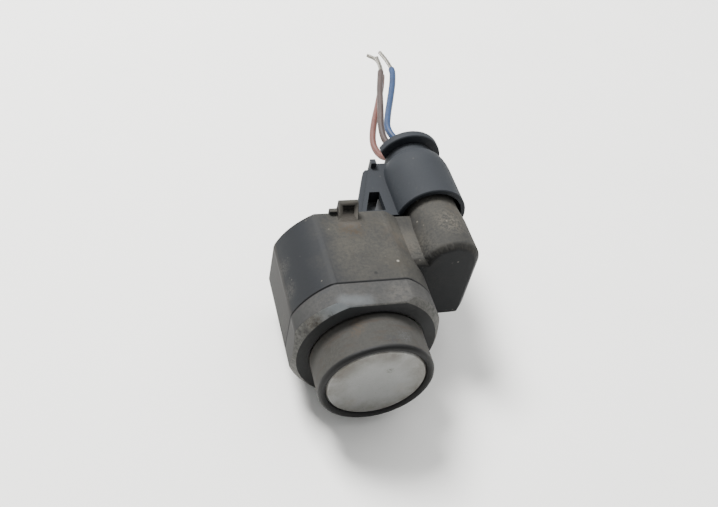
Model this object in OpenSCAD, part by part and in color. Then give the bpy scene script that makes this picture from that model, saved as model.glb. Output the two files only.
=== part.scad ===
// Ultrasonic parking sensor with its cable plug.
// A flat-sided moulded body carries a round transducer nose at its front and, on one side,
// an arm that ends in a connector socket. The plug of the cut-off cable is latched on the socket.
// Frame: +Z is up, the transducer faces -Y and the arm lies on +X.
// The origin is the centre of the collar's front face, on the transducer's axis.

/* [Transducer] */
// Diameter of the aluminium pot whose closed end is the sounding membrane
pot_d = 16.4; // [15.6:0.1:16.8]
// Wall of the pot
pot_wall = 1.3; // [0.9:0.1:1.8]
// Thickness of the sounding membrane
membrane_t = 0.9; // [0.6:0.1:1.4]
// Bright bevel round the edge of the sounding face
pot_edge = 0.35; // [0.2:0.05:0.6]
// Width of the bead round the open end of the pot
pot_bead_w = 0.5; // [0.3:0.05:0.7]
// Length of the bead along the axis
pot_bead_len = 1; // [0.6:0.1:1.4]
// Depth of the sounding face behind the tip of the rubber rim
face_recess = 0.25; // [0.1:0.05:0.5]
// Wall of the rubber decoupling ring
ring_wall = 1.25; // [1:0.05:1.4]
// Length of the nose in front of the collar
nose_len = 6.9; // [5.5:0.1:8]
// Groove between the nose's full diameter and the collar's face
nose_root = 0.3; // [0.2:0.1:0.6]
// Wall of the ring in that groove and inside the collar
ring_neck_wall = 0.7; // [0.6:0.05:0.9]
// Width of the ring's hidden flange
ring_flange_w = 0.7; // [0.5:0.1:1]
// Thickness of that flange
ring_flange_t = 1.2; // [0.8:0.1:1.5]
// Diameter of the piezo disc
piezo_d = 7.4; // [6:0.1:8]
// Thickness of the piezo disc
piezo_t = 0.3; // [0.2:0.05:0.5]
// Thickness of the carrier disc that closes the pot
carrier_t = 1.6; // [1.2:0.1:2]
// Length of the carrier's hub inside the pot
hub_len = 4.4; // [3:0.1:5]
// Diameter of the passage for the piezo leads
lead_hole_d = 8; // [7.8:0.1:9]
// Diameter of a piezo lead
lead_d = 0.5; // [0.3:0.05:0.8]
// Distance between the two piezo leads
lead_gap = 3.2; // [2:0.1:5]
// Distance of the leads' ends from the board's front edge
lead_inset = 1; // [0.6:0.1:1.6]

/* [Body] */
// Wall of the collar round the ring's hidden flange, which sets the diameter over the body's corners
collar_wall = 2.55; // [2.4:0.05:3.2]
// Width over the two side flats
body_w = 24.1; // [23.6:0.1:25]
// Height over the top and bottom flats
body_h = 22.6; // [22.4:0.1:24]
// Length of the front collar
collar_len = 4.8; // [4.4:0.1:6]
// Length of the housing behind the collar
housing_len = 15.8; // [14.5:0.1:20]
// Wall of the housing
wall = 1.4; // [1:0.1:1.6]
// Thickness of the housing's back wall
back_wall = 1.6; // [1.2:0.1:2]
// Diameter of the inner edge of the wide bevels on the collar's two sides
bevel_d = 24.7; // [24.2:0.1:25.2]
// Distance of each wide bevel's axis from the transducer's axis, so that it fades out at top and bottom
bevel_shift = 0.8; // [0.5:0.1:1.1]
// Length of the wide bevels along the axis
bevel_len = 1.6; // [1:0.1:2.4]
// Narrow bevel on the rest of the collar's front edge
land_edge = 0.2; // [0.2:0.1:1]
// Bevel at the front of the collar's bore, which keeps its face clear of the nose
bore_edge = 0.6; // [0.6:0.1:0.9]
// Bevel on the back edge of the housing
back_edge = 0.5; // [0.3:0.1:1]
// Half of the seam groove between collar and housing
seam = 0.16; // [0.1:0.02:0.3]
// Length of the collar's corner tabs inside the housing
tab_len = 2.2; // [1.5:0.1:3]
// Thickness of those tabs
tab_t = 0.7; // [0.5:0.1:0.9]

/* [Snap lug] */
// Place of the lug on the top flat, from the transducer's axis
lug_x = -0.5; // [-2:0.1:2]
// Width of the lug
lug_w = 3.4; // [3:0.1:5]
// Length of the lug's bar
lug_len = 0.9; // [0.8:0.1:1.6]
// Length of the ramp in front of the bar
lug_ramp = 1.9; // [1:0.1:3]
// Height of the lug above the flat
lug_h = 2.5; // [2:0.1:3]
// Width of the pocket in the ramp
lug_pocket_w = 1.9; // [1.2:0.1:2.2]
// Height of the pocket's floor above the flat
lug_pocket_floor = 0.9; // [0.5:0.1:1.2]
// Wall above and behind the pocket
lug_wall = 0.4; // [0.3:0.1:0.6]
// Width of the low step beside the lug
lug_step_w = 1.3; // [0.6:0.1:1.6]
// Height of that step
lug_step_h = 0.7; // [0.4:0.1:1.2]

/* [Arm and socket] */
// Distance of the socket's axis from the transducer's axis
socket_x = 16; // [15.4:0.1:18]
// Height of the socket's axis above the transducer's axis
socket_z = 7.5; // [7:0.1:7.8]
// Diameter of the socket tower and of the arm's arched top
tower_d = 10.4; // [10.2:0.1:11]
// Diameter of the tower inside the plug's shroud
tower_neck_d = 9.8; // [9.6:0.1:10.1]
// Length of the taper between the two diameters
tower_taper = 3; // [1:0.1:5]
// Length of the tower behind the housing
tower_len = 9.6; // [9:0.1:11]
// Bore of the socket
socket_bore = 8.6; // [8.4:0.1:8.8]
// Depth of the socket
socket_depth = 8.9; // [8.6:0.1:9.2]
// Thickness of the arm in front of the housing's back face
arm_len = 10.9; // [10:0.1:11]
// Height of the flat neck between body and arm
neck_top = 9.2; // [8.6:0.1:9.6]
// Drop of the arm below the socket's axis
arm_drop = 12; // [8:0.1:16]
// Corner radius at the foot of the arm
arm_corner = 2; // [1:0.1:4]
// Bevel round the front face of the arm and its neck
arm_edge = 1.2; // [0.8:0.1:1.6]
// Width of a square contact pin
pin_w = 0.64; // [0.5:0.02:0.8]
// Distance from one contact pin to the next
pin_pitch = 2; // [1.9:0.05:2.2]
// Reach of the pins into the socket
pin_reach = 5.6; // [4:0.1:6]
// Length of a pin's foot on the circuit board
pin_foot = 2.4; // [1.5:0.1:3]
// Distance of the last pin's leg from the back wall
leg_inset = 2.4; // [2:0.1:3]

/* [Circuit board] */
// Thickness of the circuit board
board_t = 1; // [0.8:0.1:1.6]
// Width of the rails that carry the board
rail_w = 1.2; // [0.8:0.1:2]
// Thickness of those rails
rail_t = 1.2; // [0.8:0.1:2]
// Length and width of the control chip
chip_size = 5; // [4:0.1:6]
// Height of the chip's case
chip_h = 1.3; // [0.8:0.1:1.6]
// Gap under the chip's case
chip_lift = 0.1; // [0.05:0.05:0.2]
// Width of a chip leg
chip_leg_w = 0.4; // [0.3:0.05:0.6]
// Reach of a chip leg from the case
chip_leg_len = 0.9; // [0.6:0.1:1.2]
// Thickness of a chip leg
chip_leg_t = 0.2; // [0.15:0.05:0.3]
// Diameter of the transformer's flanges
coil_d = 5.6; // [4:0.1:7]
// Height of the transformer
coil_h = 4.6; // [3:0.1:6]
// Thickness of the transformer's flanges
coil_flange_t = 0.9; // [0.6:0.1:1.2]
// Diameter of the transformer's core between the flanges
coil_core_d = 2.8; // [2:0.1:3.4]
// Diameter over the transformer's winding
winding_d = 5.2; // [4:0.1:5.4]
// Diameter of the filter capacitor's can
can_d = 4; // [3:0.1:4.4]
// Height of that can
can_h = 5; // [4:0.1:7]
// Distance between the can and the transformer
can_gap = 0.4; // [0.3:0.1:1]
// Length of a ceramic capacitor
ceramic_len = 2; // [1.6:0.1:2.4]
// Width of a ceramic capacitor
ceramic_w = 1.2; // [0.8:0.1:1.4]
// Height of a ceramic capacitor
ceramic_h = 1; // [0.6:0.1:1.2]
// Distance from one ceramic capacitor to the next
ceramic_pitch = 2; // [1.8:0.1:2.4]

/* [Plug] */
// Diameter of the plug's shroud
shroud_d = 12.8; // [12.4:0.1:13.4]
// Gap between the housing's back face and the shroud's rim
rim_gap = 1.05; // [0.8:0.05:1.3]
// Bevel on the shroud's rim
rim_edge = 0.2; // [0.1:0.05:0.4]
// Length of the straight part of the shroud
shroud_len = 8.2; // [8:0.1:9]
// Length of the rounded shoulder
shoulder_len = 4.7; // [4:0.1:5.4]
// Diameter of the neck behind the shoulder
neck_d = 9.4; // [9.2:0.1:10]
// Length of the neck
neck_len = 1.9; // [1.5:0.1:3]
// Diameter of the plug's inner barrel
barrel_d = 8; // [7.8:0.1:8.2]
// Diameter of the groove for the plug seal
groove_d = 6.6; // [6.4:0.1:7]
// Length of the plug seal
seal_len = 2.2; // [1.6:0.1:2.6]
// Diameter of the bore for the wire seal
wire_bore = 7.8; // [7.6:0.1:8.4]
// Length of the wire seal
wire_seal_len = 2.4; // [2:0.1:3]
// Height of the ribs round the wire seal
seal_rib = 0.2; // [0.1:0.05:0.3]
// Distance of the ribs from the ends of the wire seal
seal_rib_inset = 0.6; // [0.4:0.1:0.8]
// Width of a terminal's box and diameter of its crimp
terminal_w = 1.6; // [1.55:0.05:1.7]
// Length of a terminal's box
terminal_len = 5.6; // [5:0.1:6]
// Length of a terminal's crimp
crimp_len = 3; // [2:0.1:3.4]
// Thickness of the terminal lock
lock_t = 1.2; // [0.8:0.1:1.6]
// Diameter of the rear cap's flange
cap_d = 12.5; // [11.5:0.1:13]
// Thickness of the rear cap's flange
cap_t = 1.6; // [1.2:0.1:2]
// Bevel on the edges of the flange
cap_edge = 0.2; // [0.1:0.05:0.4]
// Diameter of the recess in the flange
cap_recess_d = 8.3; // [8.2:0.1:9]
// Thickness of the cap's plate that holds the wire seal
cap_plate_t = 1.4; // [1:0.1:1.8]
// Height of that plate above the plug's back face
cap_plate_proud = 0.4; // [0.2:0.1:0.8]
// Angle of the gap in the flange where the wires leave
cap_gap_angle = 215; // [180:1:250]
// Distance of that gap's edge from the plug's axis
cap_gap_edge = 3.3; // [2.8:0.1:5]

/* [Latch] */
// Height of the latch plate's top above the plug's axis
latch_rise = 1.1; // [0.6:0.1:1.6]
// Thickness of the latch plate
latch_t = 2.4; // [1.8:0.1:3]
// Reach of the latch plate from the plug's axis at its back end
latch_reach = 9.7; // [9.2:0.1:10.5]
// Flare of the latch plate towards its front end
latch_flare = 4.3; // [3:0.1:4.6]
// Length of the latch plate
latch_len = 12.3; // [11.4:0.1:12.6]
// Extra length of the plate beside the plug's shoulder
latch_tail = 1.1; // [0.6:0.1:1.3]
// Front bar of the latch plate
latch_bar = 1.3; // [1:0.1:1.6]
// Rail on the outer side of the latch window
latch_rail = 1.8; // [1.2:0.1:2.2]
// Length of the latch window
window_len = 4.6; // [4:0.1:5]
// Inner edge of the latch window, from the plug's axis
window_edge = 8.2; // [7.8:0.1:8.4]
// Depth of the step along the plate's outer edge
latch_step = 0.5; // [0.3:0.1:0.8]
// Width of that step
latch_step_w = 1; // [0.6:0.1:1.4]
// Bevel on the outer back corner of the plate
latch_corner = 0.6; // [0.3:0.1:1]
// Distance of the thumb ridge from the plate's outer edge
ridge_inset = 1.5; // [1:0.1:1.8]
// Width of the thumb ridge at the back of the plate
ridge_w = 1; // [0.8:0.1:1.6]
// Length of the thumb ridge
ridge_len = 1.2; // [0.8:0.1:1.6]
// Height of the thumb ridge above the plate
ridge_h = 1.1; // [0.6:0.1:1.8]
// Width of the catch on the housing
catch_w = 1.9; // [1.4:0.1:2.2]
// Length of the catch
catch_len = 3.6; // [2.8:0.1:4]
// Width of the catch at its point
catch_tip_w = 0.2; // [0.1:0.05:0.4]
// Reach of the tongue that carries the catch
tongue_len = 7.2; // [6:0.1:8]
// Width of the tongue, which closes the window from below
tongue_w = 5; // [4.4:0.1:5.6]
// Reach of the tongue past the catch, under the plate's inner bar
tongue_lap = 0.6; // [0.4:0.1:1]
// Thickness of that tongue
tongue_t = 1.4; // [1:0.1:2]

/* [Wires] */
// Diameter of a wire over its insulation
wire_d = 1.3; // [1:0.05:1.4]

/* [Hidden] */
$fn = 96;

// Clearances
fit_gap = 0.1;
pin_gap = 0.05;
ring_gap = 0.05;
wire_gap = 0.02;
wire_room = 0.2;
seat_gap = 0.3;
over = 0.5;

// Stations of the transducer along Y
nose_d = pot_d + 2 * ring_wall;
face_y = face_recess - nose_len;
membrane_back = face_y + membrane_t;
piezo_back = membrane_back + piezo_t;
carrier_back = collar_len - fit_gap;
pot_back = carrier_back - carrier_t;
hub_front = pot_back - hub_len;
pot_bore = pot_d - 2 * pot_wall;
bead_d = pot_d + 2 * pot_bead_w;
flange_d = nose_d + 2 * ring_flange_w;
flange_front = pot_back - ring_flange_t;

// Stations of the body along Y
body_len = collar_len + housing_len;
cavity_back = body_len - back_wall;
body_d = flange_d + 2 * fit_gap + 2 * collar_wall;
cavity_d = body_d - 2 * wall;
tab_d = cavity_d - 2 * fit_gap;

// Socket, arm and contact pins
tower_end = body_len + tower_len;
socket_floor = tower_end - socket_depth;
arm_front = body_len - arm_len;
arm_side = socket_x + tower_d / 2;
arm_foot = socket_z - arm_drop;
pin_tip = socket_floor + pin_reach;
ways = [0, 1, 2];
function way_x(i) = socket_x + (i - 1) * pin_pitch;
function leg_y(i) = cavity_back - leg_inset - i * pin_pitch;

// Circuit board, which the contact pins lie on
board_top = socket_z - pin_w / 2;
board_bottom = board_top - board_t;
board_half = min(sqrt(pow(cavity_d / 2, 2) - pow(board_top, 2)), body_w / 2 - wall) - fit_gap;
board_front = collar_len + tab_len + fit_gap;
board_back = cavity_back - fit_gap;
board_mid = (board_front + board_back) / 2;
pin_start = board_half - pin_foot;
lead_y = board_front + lead_inset;

// Stations of the plug along Y
rim_y = body_len + rim_gap;
shoulder_y = rim_y + shroud_len;
neck_y = shoulder_y + shoulder_len;
plug_back = neck_y + neck_len;
shroud_floor = tower_end + seat_gap;
shroud_bore = tower_d + 2 * seat_gap;
groove_back = shroud_floor - fit_gap;
groove_front = groove_back - seal_len;
cap_plate_back = plug_back + cap_plate_proud;
cap_plate_front = cap_plate_back - cap_plate_t;
seal_back = cap_plate_front;
seal_front = seal_back - wire_seal_len;
terminal_front = rim_y + 2 * seat_gap;
terminal_back = terminal_front + terminal_len;
crimp_back = terminal_back + crimp_len;
wire_start = terminal_back + seat_gap;
wire_leave = cap_plate_back + pin_gap;
pin_hole = pin_w + 2 * fit_gap;
channel_w = terminal_w + 2 * pin_gap;
lock_front = terminal_front + terminal_len / 2;

// Latch plate and the catch it snaps over
latch_top = socket_z + latch_rise;
latch_bottom = latch_top - latch_t;
latch_back = rim_y + latch_len;
tail_back = latch_back + latch_tail;
window_front = rim_y + latch_bar;
window_back = window_front + window_len;
window_x = socket_x - window_edge;
catch_front = window_front + fit_gap;
catch_tip = catch_front + catch_len;
catch_side = window_x - fit_gap;
catch_top = latch_top - 2 * latch_step;
tongue_top = latch_bottom - seat_gap / 2;

// Routes of the three wires: straight from the crimp through the cap, then free to the cut end
function wire_root(i) = [[way_x(i), wire_start, socket_z], [way_x(i), seal_front, socket_z],
    [way_x(i), wire_leave, socket_z]];
red_route = concat(wire_root(0), [[13.72, 38.1, 7], [13.1, 39.4, 6.1], [12.45, 40.9, 5.25],
    [12.1, 42.9, 4.75], [12.1, 45.4, 4.6], [12.8, 48.4, 4.6], [14.2, 52.4, 4.5],
    [16, 56.8, 4.2], [17.8, 61.4, 3.9], [19.6, 66.4, 3.6], [21, 71.4, 3.2], [21.4, 76.6, 2.8]]);
brown_route = concat(wire_root(1), [[15.5, 39.2, 7.1], [14.5, 42, 6.5],
    [14, 45, 6], [14.4, 49, 5.9], [15.4, 53, 5.9], [16.4, 57, 5.8], [17.4, 61, 5.7],
    [18.6, 65, 5.5], [19.7, 69, 5.3], [19.7, 72.2, 5.2], [18.2, 74.2, 5]]);
blue_route = concat(wire_root(2), [[17.4, 38.8, 7.7], [16, 41.1, 7.9],
    [14.7, 43.7, 8], [14.6, 46.4, 8], [15.7, 50, 7.9], [17.2, 54, 7.7], [18.8, 58.2, 7.4],
    [20.2, 62.2, 7.1], [21.2, 66, 6.8], [21.2, 69.8, 6.5], [20.6, 73.6, 6.2]]);

// Sweeps a round section along a route: one ring of points at each route point
cord_sides = 8;
function unit(v) = v / norm(v);
function tangent(p, i) = unit(p[min(i + 1, len(p) - 1)] - p[max(i - 1, 0)]);
function side_dir(t) = unit(cross(t, abs(t[2]) < 0.9 ? [0, 0, 1] : [1, 0, 0]));
function ring(c, t, r) = let (u = side_dir(t), v = cross(t, u))
    [for (k = [0:cord_sides - 1]) c + r * (cos(360 * k / cord_sides) * u + sin(360 * k / cord_sides) * v)];

module cord(route, d, first, last) {
    n = len(route);
    rings = [for (i = [0:n - 1])
        ring(route[i], i == 0 ? first : i == n - 1 ? last : tangent(route, i), d / 2)];
    quads = [for (i = [0:n - 2]) for (k = [0:cord_sides - 1])
        let (a = i * cord_sides + k, b = i * cord_sides + (k + 1) % cord_sides)
        [a, a + cord_sides, b + cord_sides, b]];
    near_end = [[for (k = [0:cord_sides - 1]) k]];
    far_end = [[for (k = [cord_sides - 1:-1:0]) (n - 1) * cord_sides + k]];
    polyhedron([for (r = rings) each r], concat(quads, near_end, far_end));
}

// Extrudes an outline that is drawn in X and Z from one Y station to another
module slab(from, to) {
    translate([0, to, 0]) rotate([90, 0, 0]) linear_extrude(to - from) children();
}

// Turns a profile about the Y axis: its first coordinate is the radius, its second one Y
module turned() {
    rotate([-90, 0, 0]) rotate_extrude() children();
}

// Round bar along Y
module bar(d, from, to) {
    translate([0, from, 0]) rotate([-90, 0, 0]) cylinder(d = d, h = to - from);
}

// Moves a shape from the transducer's axis to the socket's axis
module at_socket() {
    translate([socket_x, 0, socket_z]) children();
}

// Profile of half a bar with bevelled ends
function half_profile(r, from, to, bevel_from, bevel_to) = [[0, from], [r - bevel_from, from],
    [r, from + bevel_from], [r, to - bevel_to], [r - bevel_to, to], [0, to]];

// The same profile on both sides of the axis
function full_profile(r, from, to, bevel_from, bevel_to) = [[bevel_from - r, from], [r - bevel_from, from],
    [r, from + bevel_from], [r, to - bevel_to], [r - bevel_to, to], [bevel_to - r, to],
    [-r, to - bevel_to], [-r, from + bevel_from]];

// Outline of the body: a circle cut by four flats
module body_outline(inset) {
    intersection() {
        circle(d = body_d - 2 * inset);
        square([body_w - 2 * inset, body_h - 2 * inset], center = true);
    }
}

// Round bar with four flats and bevelled ends
module flat_sided(from, to, bevel_from, bevel_to) {
    intersection() {
        turned() polygon(half_profile(body_d / 2, from, to, bevel_from, bevel_to));
        translate([0, 0, -body_h]) linear_extrude(2 * body_h)
            polygon(full_profile(body_w / 2, from, to, bevel_from, bevel_to));
        rotate([0, -90, 0]) translate([0, 0, -body_w]) linear_extrude(2 * body_w)
            polygon(full_profile(body_h / 2, from, to, bevel_from, bevel_to));
    }
}

// Outline of the arm below the socket's axis, rounded at its foot
module arm_outline() {
    translate([0, arm_foot + arm_corner]) square([arm_side, arm_drop - arm_corner]);
    translate([0, arm_foot]) square([arm_side - arm_corner, arm_drop]);
    translate([arm_side - arm_corner, arm_foot + arm_corner]) circle(r = arm_corner);
}

// Arm: a flat neck, a block below the socket's axis and the round bar that becomes the socket tower
module arm() {
    at_socket() turned() polygon([[0, arm_front], [tower_d / 2 - arm_edge, arm_front],
        [tower_d / 2, arm_front + arm_edge], [tower_d / 2, body_len - tower_taper],
        [tower_neck_d / 2, body_len], [tower_neck_d / 2, tower_end - fit_gap],
        [tower_neck_d / 2 - fit_gap, tower_end], [0, tower_end]]);
    rotate([90, 0, 90]) linear_extrude(socket_x) polygon([[arm_front, arm_foot], [arm_front, neck_top - arm_edge],
        [arm_front + arm_edge, neck_top], [body_len, neck_top], [body_len, arm_foot]]);
    intersection() {
        slab(arm_front, body_len) arm_outline();
        translate([0, 0, arm_foot]) linear_extrude(arm_drop)
            polygon([[0, arm_front], [arm_side - arm_edge, arm_front], [arm_side, arm_front + arm_edge],
                [arm_side, body_len], [0, body_len]]);
    }
}

// Contact pin: a foot on the board, a leg through the arm and a blade in the socket
module contact_pin(i, grow) {
    w = pin_w + 2 * grow;
    translate([pin_start - grow, leg_y(i) - w / 2, socket_z - w / 2])
        cube([way_x(i) - pin_start + pin_w / 2 + 2 * grow, w, w]);
    translate([way_x(i) - w / 2, leg_y(i) - w / 2, socket_z - w / 2])
        cube([w, pin_tip - leg_y(i) + w / 2, w]);
}

// Snap lug on the top flat: a ramp with a pocket in it, a bar behind it and a low step beside it
module snap_lug() {
    root = body_h / 2 - wall / 2;
    top = body_h / 2 + lug_h;
    bar_front = body_len - lug_len;
    difference() {
        translate([lug_x - lug_w / 2, 0, 0]) rotate([90, 0, 90]) linear_extrude(lug_w)
            polygon([[body_len, root], [body_len, top], [bar_front, top], [bar_front - lug_ramp, root]]);
        translate([lug_x - lug_pocket_w / 2, bar_front - lug_ramp, body_h / 2 + lug_pocket_floor])
            cube([lug_pocket_w, lug_ramp + lug_len - lug_wall, lug_h - lug_pocket_floor - lug_wall]);
    }
    translate([lug_x - lug_w / 2 - lug_step_w, bar_front, root])
        cube([lug_step_w + wall, lug_len, lug_step_h + wall / 2]);
}

// Tongue behind the housing with the pointed catch for the plug's latch
module latch_catch() {
    translate([catch_side - tongue_w, body_len - over, tongue_top - tongue_t])
        cube([tongue_w + tongue_lap, tongue_len + over, tongue_t]);
    translate([0, 0, tongue_top - tongue_t]) linear_extrude(catch_top - tongue_top + tongue_t)
        polygon([[catch_side - catch_w, catch_front], [catch_side, catch_front],
            [catch_side, catch_tip], [catch_side - catch_tip_w, catch_tip]]);
}

// Two rails inside the housing that carry the board's long edges
module board_rails() {
    slab(board_front, cavity_back + over) intersection() {
        body_outline(wall / 2);
        for (side = [-1, 1])
            translate([side * (board_half + wall), board_bottom - rail_t / 2])
                square([2 * (rail_w + wall), rail_t], center = true);
    }
}

module housing() {
    color("#5b5a57") {
        difference() {
            union() {
                flat_sided(collar_len, body_len, seam, back_edge);
                arm();
            }
            slab(collar_len - over, cavity_back) body_outline(wall);
            at_socket() bar(socket_bore, socket_floor, tower_end + over);
            for (i = ways) contact_pin(i, pin_gap);
        }
        board_rails();
        snap_lug();
        latch_catch();
    }
}

// Collar with its front bevel, its bore for the nose and its corner tabs
module front_collar() {
    bevel_slope = bevel_len / (body_d / 2 + bevel_shift - bevel_d / 2);
    bevel_r = body_d / 2 + bevel_shift + over;
    bore_r = pot_d / 2 + ring_neck_wall + ring_gap;
    color("#62605c") {
        difference() {
            flat_sided(0, collar_len, land_edge, seam);
            bar(2 * bore_r, -over, collar_len + over);
            bar(flange_d + 2 * fit_gap, flange_front, collar_len + over);
            turned() polygon([[0, -over], [bore_r + bore_edge + over, -over], [bore_r, bore_edge], [0, bore_edge]]);
            for (side = [-1, 1]) translate([side * bevel_shift, 0, 0])
                turned() polygon([[bevel_d / 2 - over, -over * bevel_slope], [bevel_r, -over * bevel_slope],
                    [bevel_r, bevel_len + over * bevel_slope]]);
        }
        slab(collar_len - over, collar_len + tab_len) difference() {
            intersection() {
                body_outline(wall + fit_gap);
                circle(d = tab_d);
            }
            circle(d = tab_d - 2 * tab_t);
        }
    }
}

module membrane_pot() {
    color("#c4c5c4") turned() difference() {
        union() {
            polygon([[0, face_y], [pot_d / 2 - pot_edge, face_y], [pot_d / 2, face_y + pot_edge],
                [pot_d / 2, pot_back], [0, pot_back]]);
            translate([0, pot_back - pot_bead_len]) square([bead_d / 2, pot_bead_len]);
        }
        translate([0, membrane_back]) square([pot_bore / 2, pot_back - membrane_back + over]);
    }
}

// Rubber ring round the pot, with a full-round rim and a flange behind the collar's shoulder
module decoupling_ring() {
    rim_r = ring_wall / 2;
    color("#2a2a2b") turned() difference() {
        union() {
            translate([pot_d / 2 + rim_r, rim_r - nose_len]) circle(r = rim_r);
            translate([pot_d / 2, rim_r - nose_len]) square([ring_wall, nose_len - rim_r - nose_root]);
            translate([pot_d / 2, -nose_root - over]) square([ring_neck_wall, pot_back + nose_root + over]);
            translate([pot_d / 2, flange_front]) square([ring_wall + ring_flange_w, ring_flange_t]);
        }
        translate([0, pot_back - pot_bead_len]) square([bead_d / 2, pot_bead_len + over]);
    }
}

module piezo_disc() {
    color("#d8d2bd") bar(piezo_d, membrane_back, piezo_back);
}

// Soft ring that damps the membrane round the piezo disc
module damping_pad() {
    color("#8b8478") difference() {
        bar(pot_bore - 2 * fit_gap, membrane_back, hub_front);
        bar(lead_hole_d, membrane_back - over, hub_front + over);
    }
}

module transducer_carrier() {
    color("#3d3f42") difference() {
        union() {
            bar(flange_d, pot_back, carrier_back);
            bar(pot_bore - 2 * fit_gap, hub_front, carrier_back);
        }
        bar(lead_hole_d, hub_front - over, carrier_back + over);
    }
}

// Two leads that run back from the piezo disc and rise to the underside of the board
module piezo_leads() {
    color("#b5813c") for (x = [-lead_gap / 2, lead_gap / 2]) translate([x, 0, 0]) {
        bar(lead_d, piezo_back, lead_y);
        translate([0, lead_y, 0]) sphere(d = lead_d);
        translate([0, lead_y, 0]) cylinder(d = lead_d, h = board_bottom);
    }
}

module circuit_board() {
    color("#2f6b45") translate([-board_half, board_front, board_bottom])
        cube([2 * board_half, board_back - board_front, board_t]);
}

// Chip case with a row of bent legs on two sides
module control_chip() {
    leg_count = 4;
    leg_pitch = chip_size / leg_count;
    leg_h = chip_lift + chip_h / 2;
    case_side = chip_size / 2;
    color("#26272a") {
        translate([-case_side, board_mid - case_side, board_top + chip_lift])
            cube([chip_size, chip_size, chip_h]);
        for (turn = [0, 180]) for (k = [0:leg_count - 1])
            translate([0, board_mid, board_top]) rotate(turn)
                translate([0, (k - (leg_count - 1) / 2) * leg_pitch - chip_leg_w / 2, 0])
                    rotate([90, 0, 0]) translate([0, 0, -chip_leg_w]) linear_extrude(chip_leg_w)
                        polygon([[case_side - chip_lift, leg_h], [case_side - chip_lift, leg_h - chip_leg_t],
                            [case_side + chip_leg_t, leg_h - chip_leg_t], [case_side + chip_leg_t, 0],
                            [case_side + chip_leg_len, 0], [case_side + chip_leg_len, chip_leg_t],
                            [case_side + 2 * chip_leg_t, chip_leg_t], [case_side + 2 * chip_leg_t, leg_h]]);
    }
}

// Drum core under the board, with its winding between two flanges
module on_coil_axis() {
    translate([0, board_mid, board_bottom - coil_h]) children();
}

module transformer_core() {
    color("#4a4746") on_coil_axis() {
        cylinder(d = coil_core_d, h = coil_h);
        for (z = [0, coil_h - coil_flange_t]) translate([0, 0, z]) cylinder(d = coil_d, h = coil_flange_t);
    }
}

module transformer_winding() {
    color("#a8662d") on_coil_axis() translate([0, 0, coil_flange_t]) difference() {
        cylinder(d = winding_d, h = coil_h - 2 * coil_flange_t);
        translate([0, 0, -over]) cylinder(d = coil_core_d, h = coil_h);
    }
}

// Round can under the board, beside the transformer
module filter_capacitor() {
    can_x = -(coil_d + can_d) / 2 - can_gap;
    color("#9a9da1") translate([can_x, board_mid, board_bottom - can_h]) cylinder(d = can_d, h = can_h);
}

// Row of small ceramic capacitors on top of the board, in front of the chip
module ceramic_capacitors() {
    ceramic_y = board_mid - chip_size / 2 - ceramic_len / 2 - seat_gap;
    color("#b79a72") for (k = [-1, 0, 1])
        translate([k * ceramic_pitch, ceramic_y, board_top + ceramic_h / 2])
            cube([ceramic_w, ceramic_len, ceramic_h], center = true);
}

module contact_pin_1() {
    color("#c9a64e") contact_pin(0, 0);
}

module contact_pin_2() {
    color("#c9a64e") contact_pin(1, 0);
}

module contact_pin_3() {
    color("#c9a64e") contact_pin(2, 0);
}

// Outer profile of the plug: shroud, elliptical shoulder and neck
function shoulder_arc() = [for (a = [0:15:90])
    [(neck_d + (shroud_d - neck_d) * cos(a)) / 2, shoulder_y + shoulder_len * sin(a)]];

module plug_profile() {
    difference() {
        polygon(concat([[0, rim_y], [shroud_d / 2 - rim_edge, rim_y], [shroud_d / 2, rim_y + rim_edge]],
            shoulder_arc(), [[neck_d / 2, plug_back], [0, plug_back]]));
        translate([barrel_d / 2, rim_y - over])
            square([(shroud_bore - barrel_d) / 2, shroud_floor - rim_y + over]);
        translate([groove_d / 2, groove_front]) square([(shroud_bore - groove_d) / 2, seal_len]);
        translate([0, seal_front]) square([wire_bore / 2, plug_back - seal_front + over]);
    }
}

// Plan of the latch plate, with its outer edge drawn in by an inset
module latch_plan(inset) {
    back_x = socket_x - latch_reach + inset;
    tail_x = socket_x - latch_reach + ridge_inset;
    join_x = socket_x - (neck_d + wire_bore) / 4;
    polygon([[back_x - latch_flare, rim_y], [back_x, latch_back - latch_corner],
        [back_x + min(latch_corner, tail_x - back_x), latch_back], [tail_x, latch_back], [tail_x, tail_back],
        [join_x, tail_back], [join_x, rim_y]]);
}

// Window in the latch plate, with its outer edge along the plate's own outer edge
module latch_window() {
    slope = latch_flare / (latch_len - latch_corner);
    front_x = socket_x - latch_reach - latch_flare + latch_rail;
    polygon([[front_x + slope * latch_bar, window_front],
        [front_x + slope * (latch_bar + window_len), window_back],
        [window_x, window_back], [window_x, window_front]]);
}

module latch_plate() {
    difference() {
        union() {
            translate([0, 0, latch_bottom]) linear_extrude(latch_t - latch_step) latch_plan(0);
            translate([0, 0, latch_bottom]) linear_extrude(latch_t) latch_plan(latch_step_w);
        }
        translate([0, 0, latch_bottom - over]) linear_extrude(latch_t + 2 * over) latch_window();
        at_socket() bar(shroud_bore, rim_y - over, shroud_floor);
    }
    translate([socket_x - latch_reach + ridge_inset, tail_back - ridge_len, latch_top - latch_step])
        cube([ridge_w, ridge_len, ridge_h + latch_step]);
}

module plug_housing() {
    color("#55595d") difference() {
        union() {
            at_socket() turned() plug_profile();
            latch_plate();
        }
        for (i = ways) {
            translate([way_x(i) - channel_w / 2, terminal_front - pin_gap, socket_z - channel_w / 2])
                cube([channel_w, seal_front - terminal_front + over, channel_w]);
            translate([way_x(i) - pin_hole / 2, rim_y - over, socket_z - pin_hole / 2])
                cube([pin_hole, terminal_front - rim_y + 2 * over, pin_hole]);
        }
        lock_slot(fit_gap);
    }
}

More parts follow.
